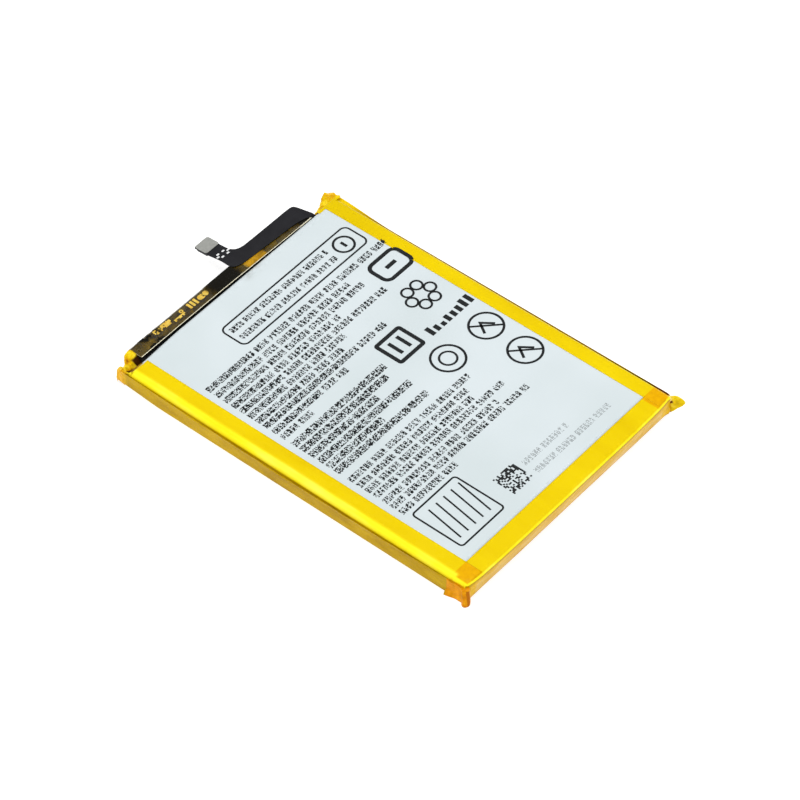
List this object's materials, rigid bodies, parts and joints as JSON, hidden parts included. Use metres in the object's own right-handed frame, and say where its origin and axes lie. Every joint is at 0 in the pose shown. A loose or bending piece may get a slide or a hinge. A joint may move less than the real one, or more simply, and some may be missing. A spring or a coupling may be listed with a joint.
{
  "type": "pouch battery cell",
  "caption": "Flat lithium-ion pouch cell with folded side seals, taped edges, a protection board on its terrace and a short flex lead.",
  "frame": {"origin": "centre of the flat back face of the cell", "axes": "+X across the cell, +Y along the cell towards the protection board, +Z out of the labelled face"},
  "size_m": [0.0678, 0.1067, 0.0056],
  "materials": {
    "laminate": "satin aluminium-plastic laminate",
    "yellow_tape": "glossy yellow polyester tape",
    "amber_tape": "translucent amber polyimide tape",
    "label": "pale satin print face",
    "cathode": "dark coated foil",
    "anode": "graphite coated foil",
    "separator": "white porous film",
    "aluminium": "bare foil",
    "nickel": "bare nickel strip",
    "sealant": "translucent polypropylene film",
    "foam": "black insulating foam",
    "board": "dark solder mask on fibreglass",
    "moulding": "moulded black resin",
    "ceramic": "sintered ceramic chip",
    "resistor": "black glazed chip",
    "gold": "gold plated copper",
    "flex": "matte black coverlay",
    "stiffener": "pale grey laminate plate"
  },
  "bodies": {
    "pack": {"pouch_cup": "laminate", "pouch_back_sheet": "laminate", "inner_separator": "separator", "cathode_sheet": "cathode", "outer_separator": "separator", "anode_sheet": "anode", "winding_end_tape": "yellow_tape", "positive_tab": "aluminium", "positive_tab_sealant": "sealant", "positive_weld_plate": "nickel", "negative_tab": "nickel", "negative_tab_sealant": "sealant", "negative_weld_plate": "nickel", "printed_label": "label", "near_side_tape": "yellow_tape", "far_side_tape": "yellow_tape", "bottom_end_tape": "yellow_tape", "near_terrace_corner_tape": "yellow_tape", "far_terrace_corner_tape": "yellow_tape", "terrace_insulating_pad": "foam", "protection_board": "board", "mosfet_package": "moulding", "protection_ic": "moulding", "thermistor": "ceramic", "chip_capacitor_1": "ceramic", "chip_capacitor_2": "ceramic", "chip_capacitor_3": "ceramic", "chip_capacitor_4": "ceramic", "chip_resistor_1": "resistor", "chip_resistor_2": "resistor", "chip_resistor_3": "resistor", "square_test_pad_1": "gold", "square_test_pad_2": "gold", "square_test_pad_3": "gold", "square_test_pad_4": "gold", "ring_test_pad": "gold", "bar_test_pad_1": "gold", "bar_test_pad_2": "gold", "bar_test_pad_3": "gold", "round_test_pad_1": "gold", "round_test_pad_2": "gold", "sense_pad": "gold", "board_wrap_tape": "amber_tape", "flex_arm": "flex"},
    "flex_neck_body": {"flex_neck": "flex"},
    "flex_tip_body": {"flex_tip": "flex", "flex_stiffener": "stiffener", "connector_housing": "moulding", "connector_contact_1": "gold", "connector_contact_2": "gold", "connector_contact_3": "gold", "connector_contact_4": "gold", "connector_contact_5": "gold", "connector_contact_6": "gold", "connector_hold_down_1": "gold", "connector_hold_down_2": "gold"}
  },
  "joints": [
    {"name": "flex_root_bend", "type": "hinge", "parent": "pack", "child": "flex_neck_body", "pos_m": [0.0055, 0.0493, 0.00479], "axis": [1, 0, 0], "range_deg": [-25, 90], "stiffness_Nm_per_rad": 0.0005},
    {"name": "flex_tip_bend", "type": "hinge", "parent": "flex_neck_body", "child": "flex_tip_body", "pos_m": [0.0055, 0.05315, 0.00417], "axis": [1, 0, 0], "range_deg": [-60, 90], "stiffness_Nm_per_rad": 0.0005}
  ]
}
